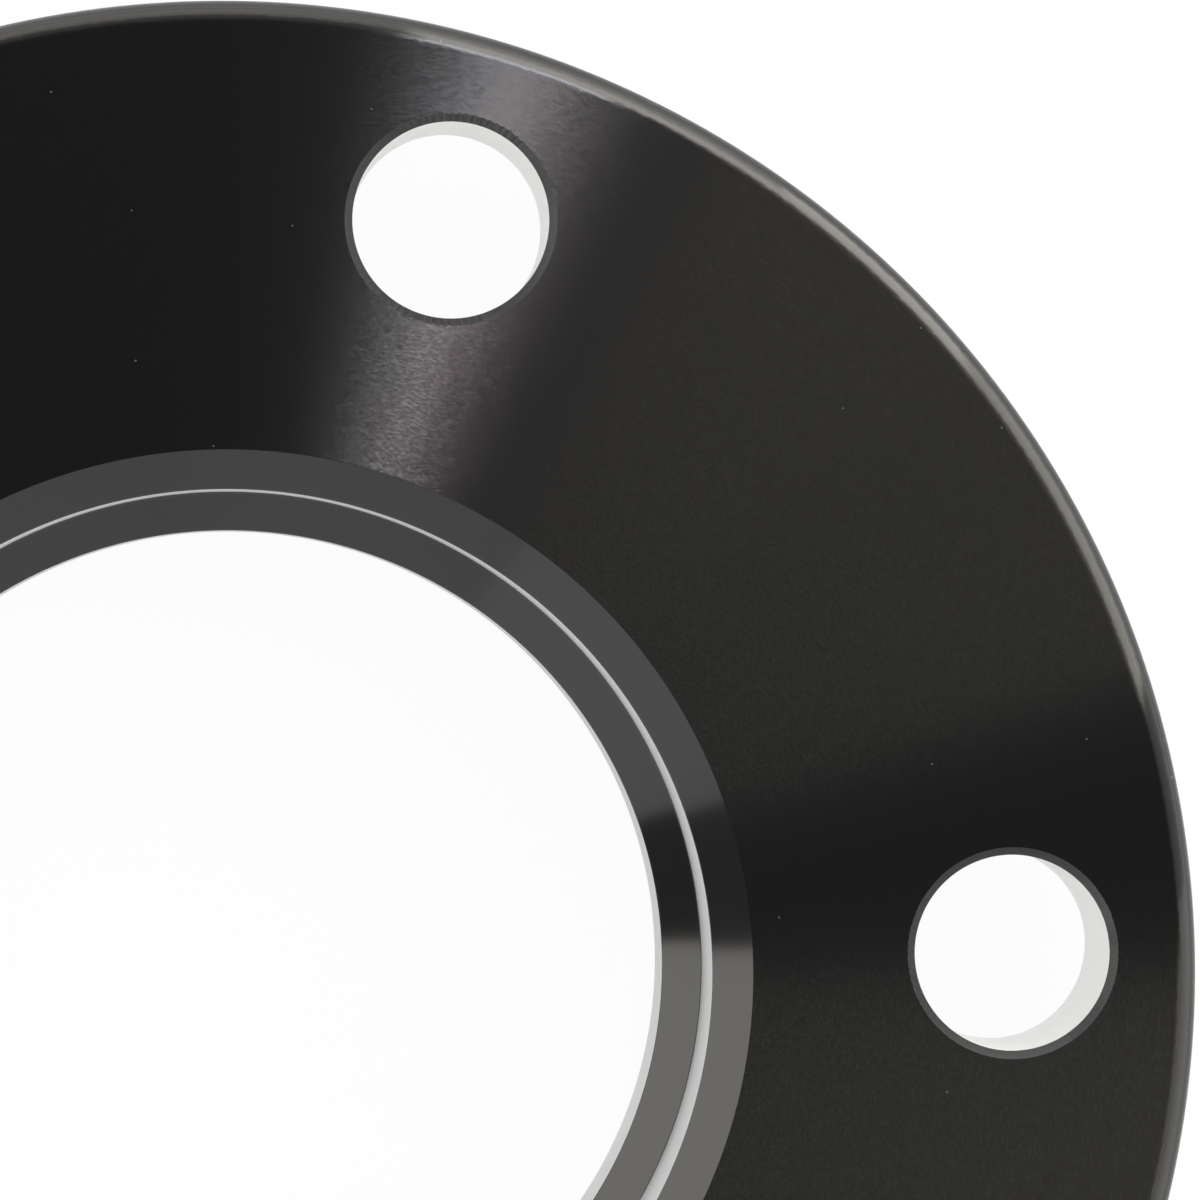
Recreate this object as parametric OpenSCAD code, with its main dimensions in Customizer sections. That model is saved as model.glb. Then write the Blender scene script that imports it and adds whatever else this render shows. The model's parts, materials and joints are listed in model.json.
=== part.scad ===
// Hub-centric wheel spacer, turned from one aluminium blank and black anodised.
// It stands on the end of its centring lip, with the hub face upwards.
// The axis is Z, and the first bolt hole is on X.

/* [Plate] */
// Diameter of the plate
plate_d = 148.5; // [144:0.5:160]
// Thickness of the plate, from the hub face to the wheel face
plate_t = 15; // [13.5:0.5:25]
// Radius turned on both outer edges of the plate
edge_r = 1.75; // [0.5:0.25:2.5]

/* [Hub bore] */
// Diameter of the bore that sits on the hub's centring collar
hub_bore_d = 74.1; // [72.1:0.1:76.1]
// Depth of the hub bore, from the hub face to its floor
hub_bore_depth = 12.5; // [8:0.25:13]
// Radial width of the cone at the bore's mouth, and of the cone that is its floor
cone_w = 3; // [2:0.25:3.5]
// Slope of both cones, in degrees from the plane of the hub face
cone_slope = 30; // [15:1:32]

/* [Centring lip] */
// Diameter of the lip that centres the wheel
lip_d = 74; // [72:0.1:76]
// Height of the lip above the wheel face
lip_h = 8; // [4:0.5:12]
// Lead-in chamfer round the outside of the lip's end
lip_lead = 1; // [0.25:0.25:1.5]
// Edge break round the inside of the lip's end
lip_break = 0.5; // [0.25:0.25:1]

/* [Bolt holes] */
// Number of bolt holes
bolt_count = 5; // [4:1:6]
// Diameter of the circle that the bolt holes lie on
bolt_circle_d = 120; // [112:0.5:122]
// Diameter of each bolt hole
bolt_hole_d = 15; // [12:0.5:16]
// Width of the 45 degree chamfer at both mouths of each bolt hole
bolt_chamfer = 0.6; // [0.2:0.1:1]

/* [Hidden] */
$fn = 180;

anodised_black = "#1b1b1e";

// Radii of the section, from the outside in
plate_r = plate_d / 2;
hub_bore_r = hub_bore_d / 2;
mouth_r = hub_bore_r + cone_w;
lip_bore_r = hub_bore_r - cone_w;
lip_r = lip_d / 2;

// Heights of the section, from the lip's end up
wheel_face_z = lip_h;
hub_face_z = lip_h + plate_t;
cone_h = cone_w * tan(cone_slope);
hub_wall_top_z = hub_face_z - cone_h;
hub_floor_z = hub_face_z - hub_bore_depth;
lip_bore_top_z = hub_floor_z - cone_h;

// A cutter runs this far past the face that it opens
past = 1;

// What a rounding tool of radius r takes off a square corner at the origin, with the metal in the third quadrant
module corner_waste(r) {
    translate([-r, -r])
        difference() {
            square(r + past);
            circle(r);
        }
}

// Half of the turned section, with the radius along X and the height along Y
module turned_section() {
    difference() {
        polygon([
            [lip_bore_r + lip_break, 0],
            [lip_r - lip_lead, 0],
            [lip_r, lip_lead],
            [lip_r, wheel_face_z],
            [plate_r, wheel_face_z],
            [plate_r, hub_face_z],
            [mouth_r, hub_face_z],
            [hub_bore_r, hub_wall_top_z],
            [hub_bore_r, hub_floor_z],
            [lip_bore_r, lip_bore_top_z],
            [lip_bore_r, lip_break]
        ]);
        translate([plate_r, hub_face_z])
            corner_waste(edge_r);
        translate([plate_r, wheel_face_z])
            mirror([0, 1])
                corner_waste(edge_r);
    }
}

// Cone that breaks the edge of a bolt hole whose mouth is at the origin and opens upwards
module bolt_hole_chamfer() {
    mouth = bolt_hole_d / 2 + bolt_chamfer;
    translate([0, 0, -bolt_chamfer])
        cylinder(h = bolt_chamfer + past, r1 = mouth - bolt_chamfer, r2 = mouth + past);
}

// One drilled hole with both of its mouths chamfered
module bolt_hole() {
    translate([0, 0, wheel_face_z - past])
        cylinder(h = plate_t + 2 * past, d = bolt_hole_d);
    translate([0, 0, hub_face_z])
        bolt_hole_chamfer();
    translate([0, 0, wheel_face_z])
        mirror([0, 0, 1])
            bolt_hole_chamfer();
}

// The whole spacer: one turned ring, drilled on its bolt circle
module spacer() {
    color(anodised_black)
        difference() {
            rotate_extrude()
                turned_section();
            for (i = [0 : bolt_count - 1])
                rotate(i * 360 / bolt_count)
                    translate([bolt_circle_d / 2, 0, 0])
                        bolt_hole();
        }
}

spacer();
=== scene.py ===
# %% [markdown]
# # A hub-centric wheel spacer
# The real thing is one ring of aluminium: turned on a lathe, drilled on its bolt circle and black anodised.
# The imported solids give every size, so the scene starts by loading them as a fixed frame.
# The box of the spacer's solid is read as well, for the radius of the plate.

# %% Load the frame
import json
import math

import bpy
from mathutils import Matrix, Vector


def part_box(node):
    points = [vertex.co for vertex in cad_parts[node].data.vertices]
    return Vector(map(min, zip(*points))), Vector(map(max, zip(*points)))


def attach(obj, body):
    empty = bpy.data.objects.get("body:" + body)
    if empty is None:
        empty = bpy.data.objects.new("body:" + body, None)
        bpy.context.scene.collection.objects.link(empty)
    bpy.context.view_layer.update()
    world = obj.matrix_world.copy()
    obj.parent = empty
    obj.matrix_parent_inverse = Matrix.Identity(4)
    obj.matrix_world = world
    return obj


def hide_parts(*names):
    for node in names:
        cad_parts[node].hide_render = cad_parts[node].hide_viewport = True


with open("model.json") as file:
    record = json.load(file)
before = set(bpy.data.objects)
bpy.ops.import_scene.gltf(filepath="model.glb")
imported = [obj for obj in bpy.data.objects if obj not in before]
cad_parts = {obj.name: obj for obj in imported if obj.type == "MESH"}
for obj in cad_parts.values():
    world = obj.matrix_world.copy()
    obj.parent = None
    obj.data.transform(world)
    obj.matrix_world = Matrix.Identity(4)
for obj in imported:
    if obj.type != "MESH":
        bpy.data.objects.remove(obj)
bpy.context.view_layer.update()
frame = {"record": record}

MM = 0.001

# %% [markdown]
# ## The sizes
# A machinist works from a drawing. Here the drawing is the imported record: its mounts give the radius and
# the length of each seat, and the ends of those lengths give the heights of the section.
# The sizes could be typed in again, but read from the record they can't drift away from the solids.
# Only the countersinks and the edge roundings aren't in the record, so they are named in the script.

# %% Read the sizes from the record
mounts = {mount["name"]: mount for mount in frame["record"]["mounts"]}


def seat(name):
    """Radius, lower end and upper end in metres of a cylindrical seat in the record."""
    radius = mounts[name]["dims"]["r_mm"] * MM
    half = mounts[name]["dims"]["length_mm"] * MM / 2
    middle = mounts[name]["pos_m"][2]
    return radius, middle - half, middle + half


hub_bore_radius, hub_floor, hub_wall_top = seat("hub_bore")
lip_bore_radius, lip_break, lip_bore_top = seat("lip_bore")
lip_radius, lip_lead, wheel_face = seat("wheel_pilot")
hub_face = mounts["hub_face"]["pos_m"][2]
plate_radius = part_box("spacer")[1].x
cone_width = hub_bore_radius - lip_bore_radius
mouth_radius = hub_bore_radius + cone_width
bolts = mounts["bolt_circle"]["dims"]
bolt_circle_radius = bolts["pcd_mm"] * MM / 2
bolt_hole_radius = bolts["hole_r_mm"] * MM
bolt_chamfer = 0.6 * MM
plate_edge_round = 1.75 * MM
print("plate radius, thickness in mm:", plate_radius / MM, (hub_face - wheel_face) / MM)

# %% [markdown]
# ## The camera
# The photograph looks almost straight down on the hub face from about half a metre, and shows a quarter of it.
# A camera can be placed by eye or solved from the rims, which are circles of known size.
# It was solved: the lens, the place and the aim below put every rim on its own edge in the picture.
# The picture's upright is turned a little from the first bolt hole, so all three turn with it.

# %% Aim the camera
lens_mm, sensor_mm = 186.0, 36.0
place_mm = (0.34, 28.61, 471.27)
right_of_picture = (0.99824, 0.0, 0.0593)
picture_turn_degrees = -1.541
picture_turn = Matrix.Rotation(math.radians(picture_turn_degrees), 3, "Z")
camera_place = picture_turn @ Vector(place_mm) * MM
camera_right = picture_turn @ Vector(right_of_picture)
camera_up = picture_turn @ Vector((0.0, 1.0, 0.0))
camera_back = camera_right.cross(camera_up)
camera_data = bpy.data.cameras.new("camera")
camera_data.lens = lens_mm
camera_data.sensor_width = sensor_mm
camera = bpy.data.objects.new("camera", camera_data)
camera.matrix_world = Matrix.Translation(camera_place + Vector((0, 0, hub_face))) @ Matrix(
    (camera_right, camera_up, camera_back)).transposed().to_4x4()
bpy.context.scene.collection.objects.link(camera)
bpy.context.scene.camera = camera
bpy.context.scene.view_settings.view_transform = "Standard"
print("camera at", [round(v, 4) for v in camera.location])

# %% [markdown]
# ## Helpers for colours and nodes
# Colours are written as sRGB hex, as on a paint chart, and Blender's sockets want linear light.
# One function turns them, and one adds a node with its settings and links.

# %% Colour and node helpers


def linear(hex_colour):
    """An sRGB colour such as #808080 as linear RGBA."""
    shares = [int(hex_colour[i:i + 2], 16) / 255 for i in (1, 3, 5)]
    return [s / 12.92 if s <= 0.04045 else ((s + 0.055) / 1.055) ** 2.4 for s in shares] + [1.0]


def add(tree, kind, inputs=None, **settings):
    """Adds one node with its settings, and fills its inputs with values or links."""
    node = tree.nodes.new(kind)
    for name, value in settings.items():
        setattr(node, name, value)
    for socket, value in (inputs or {}).items():
        if isinstance(value, bpy.types.NodeSocket):
            tree.links.new(value, node.inputs[socket])
        else:
            node.inputs[socket].default_value = value
    return node


print("the grey #808080 in linear light:", [round(v, 4) for v in linear("#808080")[:3]])

# %% [markdown]
# ## What a lathe leaves on a surface
# A turned surface is covered in fine rings. They spread every reflection across the rings and hardly along
# them, which is the fan of light on the face. Two things make it here: an anisotropic gloss whose tangent runs
# round the axis, turned a quarter so that it stretches across the rings, and a grain of dashes along the cut.
# Image textures could carry the rings, but coordinates computed from the axis stay sharp at any distance.
# The real feed marks are under 0.1 mm apart, too fine to show in the picture, so the grain is a little coarser.

# %% Coordinates that follow the lathe
no_height = (1, 1, 0)
side_by_side, one_above_another = (1, 1), (0, 1)


def lathe_coordinates(tree, at_radius, grain_length, ring_pitch, rings_along):
    """The direction of the cut, and coordinates that turn round noise into streaks along the cut.

    rings_along weighs the radius and the height, whose sum counts the rings.
    """
    place = add(tree, "ShaderNodeTexCoord").outputs["Object"]
    flat = add(tree, "ShaderNodeVectorMath", {0: place, 1: no_height}, operation="MULTIPLY").outputs[0]
    outward = add(tree, "ShaderNodeVectorMath", {0: flat}, operation="NORMALIZE").outputs[0]
    round_axis = add(tree, "ShaderNodeVectorMath", {0: (0, 0, 1), 1: outward}, operation="CROSS_PRODUCT")
    radius = add(tree, "ShaderNodeVectorMath", {0: flat}, operation="LENGTH").outputs["Value"]
    height = add(tree, "ShaderNodeSeparateXYZ", {0: place}).outputs["Z"]
    section = add(tree, "ShaderNodeCombineXYZ", {"X": radius, "Y": height}).outputs[0]
    across = add(tree, "ShaderNodeVectorMath", {0: section, 1: (*rings_along, 0)}, operation="DOT_PRODUCT")
    rings = add(tree, "ShaderNodeMath", {0: across.outputs["Value"], 1: ring_pitch}, operation="DIVIDE")
    lift = add(tree, "ShaderNodeCombineXYZ", {"Z": rings.outputs[0]})
    waves = at_radius / grain_length
    streaks = add(tree, "ShaderNodeVectorMath", {
        0: outward, 1: (waves, waves, waves), 2: lift.outputs[0]}, operation="MULTIPLY_ADD")
    return round_axis.outputs[0], streaks.outputs[0]


# %% One function for every turned finish
quarter_turn = 0.25
cut_noise = {"Scale": 1.0, "Detail": 1.0, "Roughness": 0.5}
# Most of a noise's values lie between these two.
noise_low, noise_high = 0.25, 0.75


def turned_finish(name, base, roughness, anisotropic, spread,
                  at_radius, grain_length, ring_pitch, rings_along=side_by_side):
    """A surface as the tool left it, with the grain of the cut in its gloss."""
    material = bpy.data.materials.new(name)
    material.use_nodes = True
    tree = material.node_tree
    shader = tree.nodes["Principled BSDF"]
    shader.inputs["Base Color"].default_value = linear(base)
    shader.inputs["Anisotropic"].default_value = anisotropic
    shader.inputs["Anisotropic Rotation"].default_value = quarter_turn
    round_axis, streaks = lathe_coordinates(tree, at_radius, grain_length, ring_pitch, rings_along)
    grain = add(tree, "ShaderNodeTexNoise", {"Vector": streaks, **cut_noise})
    gloss = add(tree, "ShaderNodeMapRange", {
        "Value": grain.outputs["Fac"], "From Min": noise_low, "From Max": noise_high,
        "To Min": roughness - spread, "To Max": roughness + spread})
    tree.links.new(gloss.outputs["Result"], shader.inputs["Roughness"])
    tree.links.new(round_axis, shader.inputs["Tangent"])
    return material


# %% [markdown]
# ## Black anodised aluminium
# Anodising grows a clear layer of aluminium oxide, which is dyed black and sealed. The eye sees a very dark
# body under a glass-like skin. A dark metal could give the body, but it would darken the fan of light with it,
# so the finish is a dielectric with the oxide's IOR.
# The layer is thin and copies what the tool left, so the faces, the cones and the countersinks differ only in
# their cut: the facing tool leaves the strongest fan, the boring bar nearly the same, the countersink none.

# %% Make the anodised finishes
black = "#131314"
oxide_ior = 1.65
faced = turned_finish(
    "black_anodised_faced", black, roughness=0.134, anisotropic=1.0, spread=0.002,
    at_radius=bolt_circle_radius, grain_length=0.8 * MM, ring_pitch=0.22 * MM)
bored = turned_finish(
    "black_anodised_bored", black, roughness=0.15, anisotropic=0.96, spread=0.005,
    at_radius=hub_bore_radius, grain_length=2.5 * MM, ring_pitch=0.15 * MM)
sunk = turned_finish(
    "black_anodised_countersunk", black, roughness=0.24, anisotropic=0.0, spread=0.02,
    at_radius=bolt_circle_radius, grain_length=2.5 * MM, ring_pitch=0.2 * MM)
for finish in (faced, bored, sunk):
    finish.node_tree.nodes["Principled BSDF"].inputs["IOR"].default_value = oxide_ior
print("anodised finishes:", faced.name, bored.name, sunk.name)

# %% [markdown]
# ## Glints on the face
# Seen close, the fan of light on the face isn't smooth. The facing tool tore the metal into short dashes, each
# leaning a little towards the axis or away from it, and a dash glints where it faces a lamp.
# A bump could make them from a height, but it would tilt them along the cut as much as across and blur the
# fan. So the normal is tilted itself, by one noise across the rings and by another, far less, along the cut.

# %% Draw the dashes
dash_length, dash_pitch = 0.5 * MM, 0.15 * MM
lean_in, lean_out, lean_along = 0.023, 0.03, 0.002
# A dash leans in fully where its noise is below the first value, and out fully above the second.
fall_low, fall_high = 0.45, 0.75
tree = faced.node_tree
round_axis, dashes = lathe_coordinates(tree, bolt_circle_radius, dash_length, dash_pitch, side_by_side)
tearing = add(tree, "ShaderNodeTexNoise", {"Vector": dashes, **cut_noise}).outputs["Color"]
draws = add(tree, "ShaderNodeSeparateXYZ", {0: tearing}).outputs
fall = add(tree, "ShaderNodeMapRange", {
    "Value": draws["X"], "From Min": fall_low, "From Max": fall_high,
    "To Min": -lean_in, "To Max": lean_out}).outputs["Result"]
swing = add(tree, "ShaderNodeMapRange", {
    "Value": draws["Y"], "From Min": noise_low, "From Max": noise_high,
    "To Min": -lean_along, "To Max": lean_along}).outputs["Result"]
print("dashes", dash_length / MM, "mm long and", dash_pitch / MM, "mm apart")

# %% Tilt the normal by them
leaning = add(tree, "ShaderNodeNewGeometry").outputs["Normal"]
radial = add(tree, "ShaderNodeVectorMath", {0: round_axis, 1: leaning}, operation="CROSS_PRODUCT").outputs[0]
for way, tilt in ((radial, fall), (round_axis, swing)):
    aside = add(tree, "ShaderNodeVectorMath", {0: way, "Scale": tilt}, operation="SCALE").outputs[0]
    leaning = add(tree, "ShaderNodeVectorMath", {0: leaning, 1: aside}, operation="ADD").outputs[0]
leaning = add(tree, "ShaderNodeVectorMath", {0: leaning}, operation="NORMALIZE").outputs[0]
tree.links.new(leaning, tree.nodes["Principled BSDF"].inputs["Normal"])
print("most lean in degrees:", round(math.degrees(math.atan(lean_out)), 2))

# %% [markdown]
# ## Bare turned aluminium
# The walls of the hub bore, of the lip's bore and of the bolt holes shine pale grey in the photograph. A fit is
# cut to its size after the anodising, which takes the black away. A pale paint could copy the grey, but only a
# metal takes on the white of the ground and the dark of what stands over it. So these walls are bare metal, and
# the rings of the boring bar and of the drill lie one above another in their gloss.
# The drill's walls are painted paler than the bore's walls: painted light for the white ground close below the
# short holes.

# %% Make the bare finishes
bare = turned_finish(
    "bare_turned_aluminium", "#d2d2d4", roughness=0.5, anisotropic=0.6, spread=0.06,
    at_radius=hub_bore_radius, grain_length=4.0 * MM, ring_pitch=0.25 * MM, rings_along=one_above_another)
# Painted light: the same bare aluminium, in a paler colour on the drill's walls for the bright ground close
# below them.
drilled_bare_painted_paler = turned_finish(
    "bare_drilled_aluminium_painted_paler", "#efefee", roughness=0.5, anisotropic=0.3, spread=0.06,
    at_radius=bolt_circle_radius, grain_length=4.0 * MM, ring_pitch=0.25 * MM, rings_along=one_above_another)
for finish in (bare, drilled_bare_painted_paler):
    finish.node_tree.nodes["Principled BSDF"].inputs["Metallic"].default_value = 1.0
print("bare finishes:", bare.name, drilled_bare_painted_paler.name)

# %% [markdown]
# ## Dust on the face
# A handled part is never quite clean: the photograph shows a few pale specks on the black face, a tenth of a
# millimetre across. Loose grains could be scattered as geometry, but such flat specks only change the colour.
# Each cell of a Voronoi pattern holds one point, and a few of those points are painted.

# %% Add the specks
speck_spacing, speck_radius, speck_share = 6 * MM, 0.07 * MM, 0.12
speck_grey = "#5c5c58"
# A Mix node keeps a set of sockets for each type of value, and these are the places of its colours.
first_colour, second_colour, mixed_colour = 6, 7, 2
tree = faced.node_tree
on_face = add(tree, "ShaderNodeTexCoord").outputs["Object"]
cells = add(tree, "ShaderNodeTexVoronoi", {
    "Vector": on_face, "Scale": 1 / speck_spacing}, voronoi_dimensions="2D", feature="F1").outputs
near = add(tree, "ShaderNodeMath", {
    0: cells["Distance"], 1: speck_radius / speck_spacing}, operation="LESS_THAN")
lot = add(tree, "ShaderNodeSeparateXYZ", {0: cells["Color"]}).outputs["X"]
picked = add(tree, "ShaderNodeMath", {0: lot, 1: speck_share}, operation="LESS_THAN")
speck = add(tree, "ShaderNodeMath", {0: near.outputs[0], 1: picked.outputs[0]}, operation="MULTIPLY")
paint = add(tree, "ShaderNodeMix", {
    "Factor": speck.outputs[0], first_colour: linear(black), second_colour: linear(speck_grey)},
    data_type="RGBA")
tree.links.new(paint.outputs[mixed_colour], tree.nodes["Principled BSDF"].inputs["Base Color"])
print("specks: one cell in", round(1 / speck_share), "of", speck_spacing / MM, "mm")

# %% [markdown]
# ## The turned section
# A lathe makes a ring from its half section, so the section is drawn first, as a closed line of radius and
# height. A Bevel modifier could round the finished edges, but here each corner has a radius of its own.
# No real edge is perfectly sharp: the outer edges carry a proper round, the cones and the seats only a small
# break, and an inner corner keeps the radius of the tool's nose. Each rounding is an arc that touches both of
# its sides, with one more point close by on each side, so that flats stay flat under smooth shading.

# %% List the corners of the section
edge_break = 0.12 * MM
crisp_break = 0.02 * MM
nose_round = 0.2 * MM
# A corner is its radius, its height, its rounding and the steps of that arc.
corners = [
    (lip_bore_radius + lip_break, 0.0, edge_break, 3),
    (lip_radius - lip_lead, 0.0, edge_break, 3),
    (lip_radius, lip_lead, edge_break, 3),
    (lip_radius, wheel_face, nose_round, 5),
    (plate_radius, wheel_face, plate_edge_round, 16),
    (plate_radius, hub_face, plate_edge_round, 16),
    (mouth_radius, hub_face, crisp_break, 2),
    (hub_bore_radius, hub_wall_top, edge_break, 4),
    (hub_bore_radius, hub_floor, nose_round, 5),
    (lip_bore_radius, lip_bore_top, edge_break, 4),
    (lip_bore_radius, lip_break, edge_break, 3),
]
print(len(corners), "corners")

# %% Round the corners
hold = 0.1 * MM


def rounded(before, corner, after, radius, steps):
    """Points of the arc that rounds a corner, with one holding point on either side."""
    back, on = (before - corner).normalized(), (after - corner).normalized()
    half = back.angle(on) / 2
    centre = corner + (back + on).normalized() * radius / math.sin(half)
    touch = radius / math.tan(half)
    start, end = corner + back * touch - centre, corner + on * touch - centre
    turn = math.atan2(start.cross(end), start.dot(end))
    arc = [centre + Matrix.Rotation(turn * i / steps, 2) @ start for i in range(steps + 1)]
    beside = min(hold, radius)
    return [arc[0] + back * beside] + arc + [arc[-1] + on * beside]


places = [Vector(corner[:2]) for corner in corners]
section = []
for i, (_, _, radius, steps) in enumerate(corners):
    section += rounded(places[i - 1], places[i], places[(i + 1) % len(places)], radius, steps)
print(len(section), "points round the section")

# %% [markdown]
# ## Turn the ring and drill it
# Spin in edit mode would make the ring as well, but a Geometry Nodes tree keeps the order of the workshop and
# its sizes stay named: sweep the section round the axis, set five cutters on the bolt circle, take them away.
# Each cutter is a drill and two countersinks, whose 90 degree cones cross the edges of the hole.
# Where cutters meet on one line the cut leaves points on top of one another, so these are welded.

# %% Name the sizes of the tree
tree = bpy.data.node_groups.new("turn_and_drill", "GeometryNodeTree")
tree.interface.new_socket("Section", in_out="INPUT", socket_type="NodeSocketGeometry")
tree.interface.new_socket("Spacer", in_out="OUTPUT", socket_type="NodeSocketGeometry")
sizes = {
    "Steps Round The Ring": 360,
    "Sweep Radius": bolt_circle_radius,
    "Mouth Radius": mouth_radius,
    "Bolt Count": bolts["count"],
    "Bolt Circle Radius": bolt_circle_radius,
    "Hole Radius": bolt_hole_radius,
    "Chamfer": bolt_chamfer,
    "Hub Face": hub_face,
    "Wheel Face": wheel_face,
    "Overrun": 1.0 * MM,
    "Steps Round A Hole": 360,
    "Teeth Round A Hole": 85,
    "Most Tear": 0.2 * MM,
    "Least Tear": 0.07 * MM,
    "Edge Reach": 0.02 * MM,
    "Weld": 0.002 * MM,
}
for name, value in sizes.items():
    kind = "NodeSocketInt" if isinstance(value, int) else "NodeSocketFloat"
    tree.interface.new_socket(name, in_out="INPUT", socket_type=kind)
given = tree.nodes.new("NodeGroupInput").outputs
print(len(sizes), "sizes go into the tree")

# %% Sweep the section round the axis
outline = add(tree, "GeometryNodeMeshToCurve", {"Mesh": given["Section"]})
path = add(tree, "GeometryNodeCurvePrimitiveCircle", {
    "Resolution": given["Steps Round The Ring"], "Radius": given["Sweep Radius"]}, mode="RADIUS")
ring = add(tree, "GeometryNodeCurveToMesh", {
    "Curve": path.outputs["Curve"], "Profile Curve": outline.outputs[0]})
place = add(tree, "GeometryNodeInputPosition").outputs[0]
flat = add(tree, "ShaderNodeVectorMath", {0: place, 1: no_height}, operation="MULTIPLY").outputs[0]
radius = add(tree, "ShaderNodeVectorMath", {0: flat}, operation="LENGTH").outputs["Value"]
inside = add(tree, "FunctionNodeCompare", {
    0: radius, 1: given["Mouth Radius"]}, data_type="FLOAT", operation="LESS_THAN")
ring = add(tree, "GeometryNodeSetMaterial", {"Geometry": ring.outputs[0], "Material": faced})
ring = add(tree, "GeometryNodeSetMaterial", {
    "Geometry": ring.outputs[0], "Selection": inside.outputs[0], "Material": bored})
print(len(section) * sizes["Steps Round The Ring"], "points on the ring before it is drilled")

# %% Shape the drill and the countersink
plate = add(tree, "ShaderNodeMath", {
    0: given["Hub Face"], 1: given["Wheel Face"]}, operation="SUBTRACT").outputs[0]
drill_length = add(tree, "ShaderNodeMath", {
    0: given["Overrun"], 1: 2.0, 2: plate}, operation="MULTIPLY_ADD").outputs[0]
drill = add(tree, "GeometryNodeMeshCylinder", {
    "Vertices": given["Steps Round A Hole"], "Radius": given["Hole Radius"], "Depth": drill_length})
edge_radius = add(tree, "ShaderNodeMath", {
    0: given["Hole Radius"], 1: given["Chamfer"]}, operation="ADD").outputs[0]
wide = add(tree, "ShaderNodeMath", {0: edge_radius, 1: given["Overrun"]}, operation="ADD").outputs[0]
narrow = add(tree, "ShaderNodeMath", {
    0: given["Hole Radius"], 1: given["Overrun"]}, operation="SUBTRACT").outputs[0]
depth = add(tree, "ShaderNodeMath", {0: wide, 1: narrow}, operation="SUBTRACT").outputs[0]
sink = add(tree, "GeometryNodeMeshCone", {
    "Vertices": given["Steps Round A Hole"], "Radius Top": wide, "Radius Bottom": narrow, "Depth": depth})
print("radius of hole and countersink in mm:", bolt_hole_radius / MM, (bolt_hole_radius + bolt_chamfer) / MM)

# %% Set the cutters on the bolt circle and take them away
points = add(tree, "GeometryNodeMeshCircle", {
    "Vertices": given["Bolt Count"], "Radius": given["Bolt Circle Radius"]}).outputs[0]
middle = add(tree, "ShaderNodeMath", {
    0: plate, 1: 0.5, 2: given["Wheel Face"]}, operation="MULTIPLY_ADD").outputs[0]
reach = add(tree, "ShaderNodeMath", {0: given["Chamfer"], 1: given["Overrun"]}, operation="ADD").outputs[0]
top = add(tree, "ShaderNodeMath", {0: given["Hub Face"], 1: reach}, operation="SUBTRACT").outputs[0]
bottom = add(tree, "ShaderNodeMath", {0: given["Wheel Face"], 1: reach}, operation="ADD").outputs[0]
cut = add(tree, "GeometryNodeMeshBoolean", {
    "Mesh 1": ring.outputs[0]}, operation="DIFFERENCE", solver="MANIFOLD")
for shape, height, turn in ((drill, middle, 0.0), (sink, top, 0.0), (sink, bottom, math.pi)):
    cutter = add(tree, "GeometryNodeTransform", {
        "Geometry": shape.outputs["Mesh"], "Rotation": (turn, 0, 0),
        "Translation": add(tree, "ShaderNodeCombineXYZ", {"Z": height}).outputs[0]})
    cutters = add(tree, "GeometryNodeInstanceOnPoints", {"Points": points, "Instance": cutter.outputs[0]})
    cutters = add(tree, "GeometryNodeRealizeInstances", {"Geometry": cutters.outputs[0]})
    cutters = add(tree, "GeometryNodeStoreNamedAttribute", {
        "Geometry": cutters.outputs[0], "Name": "drilled", "Value": True}, data_type="BOOLEAN", domain="FACE")
    tree.links.new(cutters.outputs[0], cut.inputs["Mesh 2"])
welded = add(tree, "GeometryNodeMergeByDistance", {"Geometry": cut.outputs[0], "Distance": given["Weld"]})
print(bolts["count"], "holes on a circle of", bolts["pcd_mm"], "mm")

# %% [markdown]
# ## The torn edge of the countersinks
# A countersink chatters where its edge runs along the rings of the face, nearest to the axis and farthest from
# it. There it leaves short slanted teeth, about 0.6 mm apart, and the rest of its edge is clean.
# A noise could shake the edge, but chatter is regular: each point of the edge moves by a sawtooth of its
# bearing round the hole, less and less towards the two sides. Not every hole chatters alike: the photograph's
# upper hole has the longest teeth and the one at its right the shortest, so the teeth grow with the hole's Y.

# %% Find the points of the edge
edge_height = add(tree, "ShaderNodeCombineXYZ", {"Z": given["Hub Face"]}).outputs[0]
centres = add(tree, "GeometryNodeTransform", {"Geometry": points, "Translation": edge_height})
nearest = add(tree, "GeometryNodeProximity", {"Geometry": centres.outputs[0]}, target_element="POINTS").outputs
on_edge = add(tree, "FunctionNodeCompare", {
    0: nearest["Distance"], 1: edge_radius, "Epsilon": given["Edge Reach"]},
    data_type="FLOAT", operation="EQUAL")
from_centre = add(tree, "ShaderNodeVectorMath", {
    0: place, 1: nearest["Position"]}, operation="SUBTRACT").outputs[0]
from_centre = add(tree, "ShaderNodeVectorMath", {0: from_centre}, operation="NORMALIZE").outputs[0]
print("points within", sizes["Edge Reach"] / MM, "mm of a countersink's edge may move")

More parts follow.
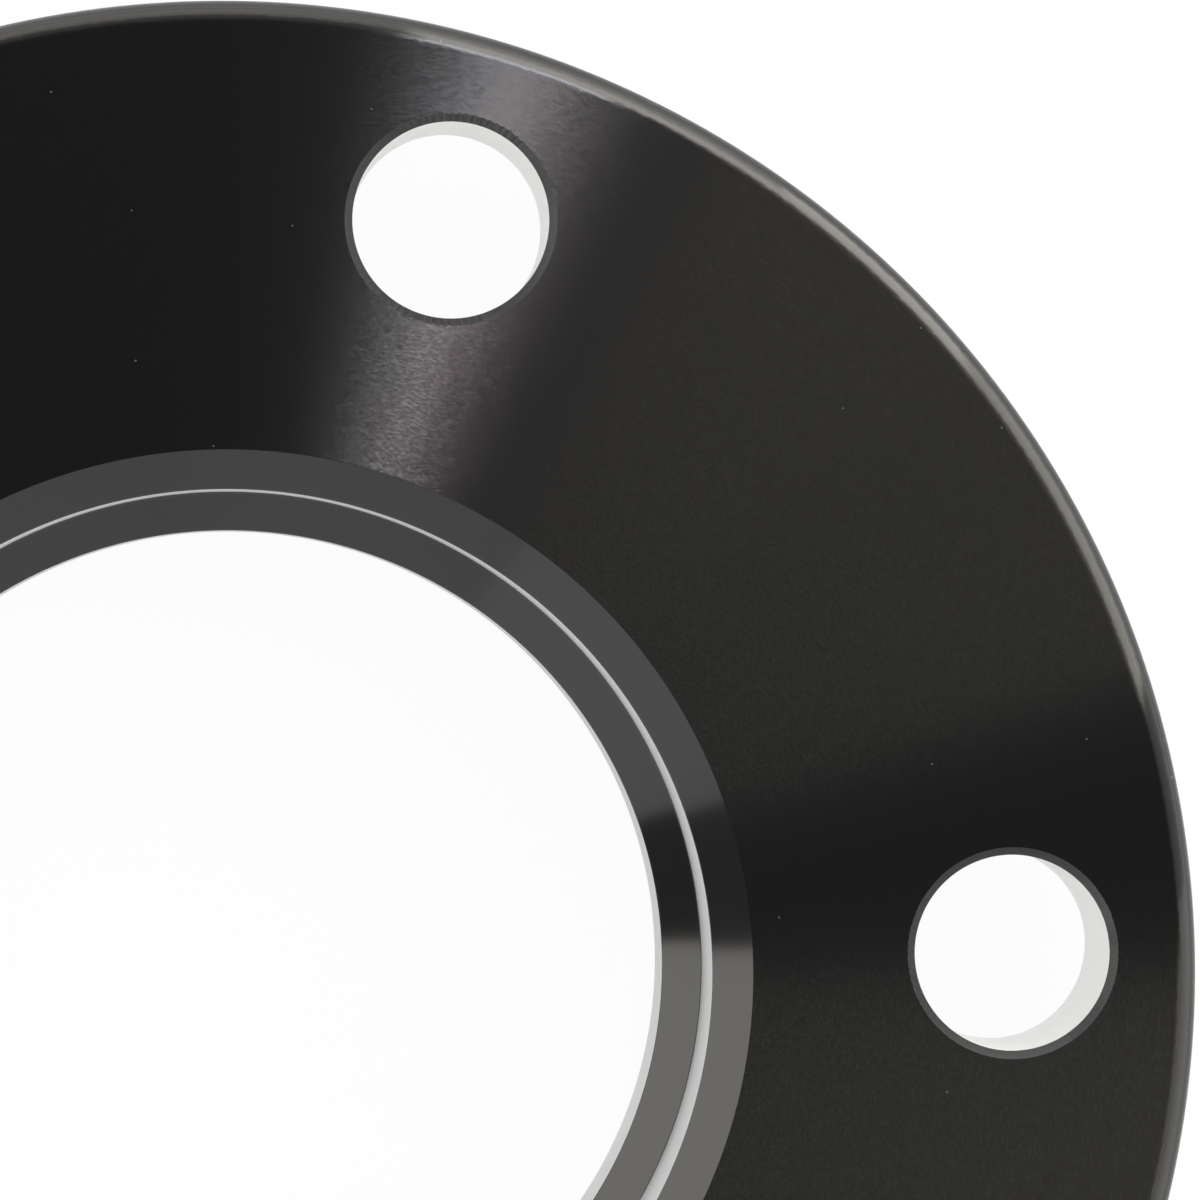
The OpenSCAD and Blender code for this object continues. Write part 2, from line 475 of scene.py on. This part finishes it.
# %% Tear the edge there
fade_power = 2.0
outward = add(tree, "ShaderNodeVectorMath", {0: flat}, operation="NORMALIZE").outputs[0]
along = add(tree, "ShaderNodeVectorMath", {
    0: from_centre, 1: outward}, operation="DOT_PRODUCT").outputs["Value"]
fade = add(tree, "ShaderNodeMath", {0: along, 1: fade_power}, operation="POWER").outputs[0]
sides = add(tree, "ShaderNodeSeparateXYZ", {0: from_centre}).outputs
bearing = add(tree, "ShaderNodeMath", {0: sides["Y"], 1: sides["X"]}, operation="ARCTAN2").outputs[0]
turned_by = add(tree, "ShaderNodeMath", {0: bearing, 1: math.tau}, operation="DIVIDE").outputs[0]
teeth = add(tree, "ShaderNodeMath", {
    0: turned_by, 1: given["Teeth Round A Hole"]}, operation="MULTIPLY").outputs[0]
tooth = add(tree, "ShaderNodeMath", {0: teeth}, operation="FRACT").outputs[0]
tooth = add(tree, "ShaderNodeMath", {0: tooth, 1: 0.5}, operation="SUBTRACT").outputs[0]
tooth = add(tree, "ShaderNodeMath", {0: tooth, 1: fade}, operation="MULTIPLY").outputs[0]
hole_y = add(tree, "ShaderNodeSeparateXYZ", {0: nearest["Position"]}).outputs["Y"]
tear = add(tree, "ShaderNodeMapRange", {
    "Value": hole_y, "From Min": 0.0, "From Max": given["Bolt Circle Radius"],
    "To Min": given["Least Tear"], "To Max": given["Most Tear"]}).outputs["Result"]
tooth = add(tree, "ShaderNodeMath", {0: tooth, 1: tear}, operation="MULTIPLY").outputs[0]
step = add(tree, "ShaderNodeVectorMath", {0: from_centre, "Scale": tooth}, operation="SCALE").outputs[0]
torn = add(tree, "GeometryNodeSetPosition", {
    "Geometry": welded.outputs[0], "Selection": on_edge.outputs[0], "Offset": step})
edge_length = math.tau * (bolt_hole_radius + bolt_chamfer)
print("teeth", round(edge_length / sizes["Teeth Round A Hole"] / MM, 2), "mm apart")

# %% Give the cut walls their finishes
upright_within = 0.2
whole = add(tree, "GeometryNodeRealizeInstances", {"Geometry": torn.outputs[0]})
drilled = add(tree, "GeometryNodeInputNamedAttribute", {"Name": "drilled"}, data_type="BOOLEAN")
whole = add(tree, "GeometryNodeSetMaterial", {
    "Geometry": whole.outputs[0], "Selection": drilled.outputs[0], "Material": sunk})
normal = add(tree, "GeometryNodeInputNormal").outputs[0]
rise = add(tree, "ShaderNodeSeparateXYZ", {0: normal}).outputs["Z"]
upright = add(tree, "FunctionNodeCompare", {
    0: rise, 1: 0.0, "Epsilon": upright_within}, data_type="FLOAT", operation="EQUAL")
facing = add(tree, "ShaderNodeVectorMath", {0: normal, 1: flat}, operation="DOT_PRODUCT").outputs["Value"]
inward = add(tree, "FunctionNodeCompare", {0: facing, 1: 0.0}, data_type="FLOAT", operation="LESS_THAN")
for cut_side, finish in ((inward, bare), (drilled, drilled_bare_painted_paler)):
    walls = add(tree, "FunctionNodeBooleanMath", {
        0: cut_side.outputs[0], 1: upright.outputs[0]}, operation="AND")
    whole = add(tree, "GeometryNodeSetMaterial", {
        "Geometry": whole.outputs[0], "Selection": walls.outputs[0], "Material": finish})
add(tree, "NodeGroupOutput", {0: whole.outputs[0]})
print(len(tree.nodes), "nodes in the tree")

# %% [markdown]
# ## From the tree to a plain mesh
# The section goes in as a line of points, and the sizes are set by the identifier of each socket before the
# tree first runs. The modifier could stay on the piece, but the frame wants a finished mesh.
# So its result is copied into a mesh of its own, and the blank is thrown away with its modifier.
# The facets of a round meet at small angles and are shaded smooth, and the sharper edges of a cut stay sharp.

# %% Run the tree
count = len(section)
outline_mesh = bpy.data.meshes.new("half_section")
outline_mesh.from_pydata(
    [(p.x - bolt_circle_radius, -p.y, 0.0) for p in reversed(section)],
    [(i, (i + 1) % count) for i in range(count)], [])
blank = bpy.data.objects.new("blank", outline_mesh)
bpy.context.scene.collection.objects.link(blank)
run = blank.modifiers.new("turn_and_drill", "NODES")
run.node_group = tree
for item in tree.interface.items_tree:
    if item.in_out == "INPUT" and item.name in sizes:
        run[item.identifier] = sizes[item.name]
bpy.context.view_layer.update()
turned = bpy.data.meshes.new_from_object(blank.evaluated_get(bpy.context.evaluated_depsgraph_get()))
bpy.data.objects.remove(blank)
print("materials:", [m.name for m in turned.materials])

# %% Keep a plain mesh
sharp_angle = math.radians(25)
turned.name = "turned_spacer"
turned.shade_smooth()
turned.set_sharp_from_angle(angle=sharp_angle)
spacer = bpy.data.objects.new("turned_spacer", turned)
bpy.context.scene.collection.objects.link(spacer)
turned.calc_loop_triangles()
print(len(turned.vertices), "vertices,", len(turned.loop_triangles), "triangles")

# %% Let it stand for the CAD node
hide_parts("spacer")
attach(spacer, "root")
print(spacer.name, "stands for the CAD node")

# %% [markdown]
# ## The floor
# The photograph's ground is pure white, also where it shows through the bore and the holes.
# A floor lit to white would flood the part with light. This one shows its own white to the camera and to
# reflections, and a share of it stays an ordinary white surface, which carries the part's shadow.

# %% Lay the floor
floor_half = 8.0
floor_mesh = bpy.data.meshes.new("floor")
floor_mesh.from_pydata(
    [(x * floor_half, y * floor_half, 0) for x, y in ((-1, -1), (1, -1), (1, 1), (-1, 1))], [], [(0, 1, 2, 3)])
floor = bpy.data.objects.new("floor", floor_mesh)
bpy.context.scene.collection.objects.link(floor)
print("floor", 2 * floor_half, "m wide")

# %% Make it a white board
own_white = 0.955
white_board = bpy.data.materials.new("white_board")
white_board.use_nodes = True
tree = white_board.node_tree
tree.nodes.remove(tree.nodes["Principled BSDF"])
paper = add(tree, "ShaderNodeBsdfDiffuse", {"Color": linear("#f4f4f4")})
glow = add(tree, "ShaderNodeEmission", {"Color": linear("#ffffff"), "Strength": 1.0})
ray = add(tree, "ShaderNodeLightPath").outputs
seen = ray["Is Camera Ray"]
for other_ray in ("Is Glossy Ray", "Is Transmission Ray"):
    seen = add(tree, "ShaderNodeMath", {0: seen, 1: ray[other_ray]}, operation="MAXIMUM").outputs[0]
share = add(tree, "ShaderNodeMath", {0: seen, 1: own_white}, operation="MULTIPLY").outputs[0]
board = add(tree, "ShaderNodeMixShader", {0: share, 1: paper.outputs[0], 2: glow.outputs[0]})
tree.links.new(board.outputs[0], tree.nodes["Material Output"].inputs["Surface"])
floor_mesh.materials.append(white_board)
print("share of its own white:", own_white)

# %% [markdown]
# ## The light
# The rings on the face turn upright panels of light into wedges: a panel that stands at some bearing round the
# part lights the face along that bearing only. One soft dome would light the face evenly and leave no wedges,
# so the light is built from panels, and the wedges in the photograph tell where they stand.
# Each panel is an area lamp, given by the bearings and the heights that it fills. The camera looks a little
# from one side, so the whole rig leans the other way: then both ends of a panel light the same bearing.
# The strip lamps make the bright streak at the upper hole, warm on one side and cool on the other. The faint
# high panels carry a wedge's light on almost to straight above, because a panel that ended lower would show
# its edge in every dash of the grain.

# %% A panel of light
rig_lean = Matrix.Rotation(camera_place.y / camera_place.z, 4, "X")


def panel(name, bearings, heights, radiance, colour, distance):
    """An area lamp between two bearings and two heights, all in degrees as seen from the hub face."""
    middle = math.radians(sum(bearings) / 2)
    wide = 2 * distance * math.tan(math.radians(bearings[1] - bearings[0]) / 2)
    bottom, top = (distance * math.tan(math.radians(height)) for height in heights)
    data = bpy.data.lights.new(name, "AREA")
    data.shape, data.size, data.size_y = "RECTANGLE", wide, top - bottom
    data.color = linear(colour)[:3]
    data.energy = radiance * math.pi * wide * (top - bottom)
    lamp = bpy.data.objects.new(name, data)
    toward = Vector((math.cos(middle), math.sin(middle), 0))
    stand = Matrix.Translation(toward * distance + Vector((0, 0, (top + bottom) / 2)))
    turn = (-toward).to_track_quat("-Z", "Y").to_matrix().to_4x4()
    lamp.matrix_world = Matrix.Translation((0, 0, hub_face)) @ rig_lean @ stand @ turn
    bpy.context.scene.collection.objects.link(lamp)


print("the rig leans by", round(math.degrees(camera_place.y / camera_place.z), 2), "degrees")

# %% Stand the panels round the part
white, warm, cool, cooler, rosy = "#ffffff", "#fffbf1", "#f4f8ff", "#e0eeff", "#ffe2e2"
far_off, half_off, near_by, close_by = 0.8, 0.5, 0.3, 0.25
# A panel is its name, its bearings, its heights, its radiance, its colour and its distance in metres.
panels = [
    ("key_panel", (37, 52), (9, 57), 4.9, warm, far_off),
    ("key_side_panel", (14.2, 37), (9, 57), 3.2, warm, far_off),
    ("key_top_panel", (15.5, 61), (57, 66), 1.05, warm, near_by),
    ("key_high_panel", (16.5, 58.5), (66, 88.5), 0.3, warm, close_by),
    ("far_panel", (52, 77.3), (30, 58), 4.6, warm, far_off),
    ("far_low_panel", (52, 77.3), (9, 30), 2.3, warm, far_off),
    ("strip_warm_lamp", (69.6, 71.5), (77.5, 85.4), 14.2, rosy, close_by),
    ("strip_cool_lamp", (71.5, 73.2), (77.5, 85.4), 14.2, cool, close_by),
    ("strip_low_lamp", (68.5, 75), (68, 77.5), 1.5, cooler, close_by),
    ("strip_foot_lamp", (64.8, 77.6), (55, 68), 10, cool, near_by),
    ("back_panel", (77.3, 113), (9, 44), 1.4, warm, far_off),
    ("back_top_panel", (77.3, 113), (46, 64), 0.35, white, half_off),
    ("right_gap_panel", (1.5, 15), (9, 57), 0.5, warm, far_off),
    ("right_panel", (-42, 1.5), (9, 56), 1.45, warm, far_off),
    ("right_top_panel", (-42, -1), (56, 66), 1.8, warm, near_by),
    ("right_high_panel", (-42, -2), (66, 88.5), 0.36, warm, close_by),
    ("left_top_panel", (139, 183.3), (16, 45), 2.4, warm, far_off),
    ("left_panel", (199.7, 235), (9, 42), 1.05, white, far_off),
    ("left_low_panel", (235, 275), (9, 42), 0.8, white, far_off),
    ("left_end_panel", (275, 315), (9, 42), 0.76, white, far_off),
]
for row in panels:
    panel(*row)

# %% [markdown]
# ## The room
# In the gaps between the panels the part mirrors a dim room. A backdrop could stand there, but a world that
# reads only the direction does the same with no shape: darker the higher it is, and just above the floor a
# band as white as the ground's far edge. The band fades towards -Y, where the far wall of the bore looks,
# because under a full band that wall would shine too pale.

# %% Add the dim room
# Heights and ways are shares of a direction that is one long.
dim_at_floor, dim_overhead, overhead = 0.6, 0.03, 0.75
band_full, band_faded, faded_way = 1.6, 0.1, -0.8
band_from, band_to = 0.06, 0.2
world = bpy.data.worlds.new("studio")
world.use_nodes = True
bpy.context.scene.world = world
tree = world.node_tree
direction = add(tree, "ShaderNodeTexCoord").outputs["Generated"]
shares = add(tree, "ShaderNodeSeparateXYZ", {0: direction}).outputs
dim = add(tree, "ShaderNodeMapRange", {
    "Value": shares["Z"], "From Min": 0.0, "From Max": overhead,
    "To Min": dim_at_floor, "To Max": dim_overhead}).outputs["Result"]
bright = add(tree, "ShaderNodeMapRange", {
    "Value": shares["Y"], "From Min": faded_way, "From Max": 0.0,
    "To Min": band_faded, "To Max": band_full}).outputs["Result"]
horizon = add(tree, "ShaderNodeMapRange", {
    "Value": shares["Z"], "From Min": band_from, "From Max": band_to,
    "To Min": bright, "To Max": 0.0}).outputs["Result"]
level = add(tree, "ShaderNodeMath", {0: dim, 1: horizon}, operation="ADD").outputs[0]
tree.nodes["Background"].inputs["Color"].default_value = linear("#ffffff")
tree.links.new(level, tree.nodes["Background"].inputs["Strength"])
print("room from", dim_at_floor, "at the floor to", dim_overhead, "overhead")
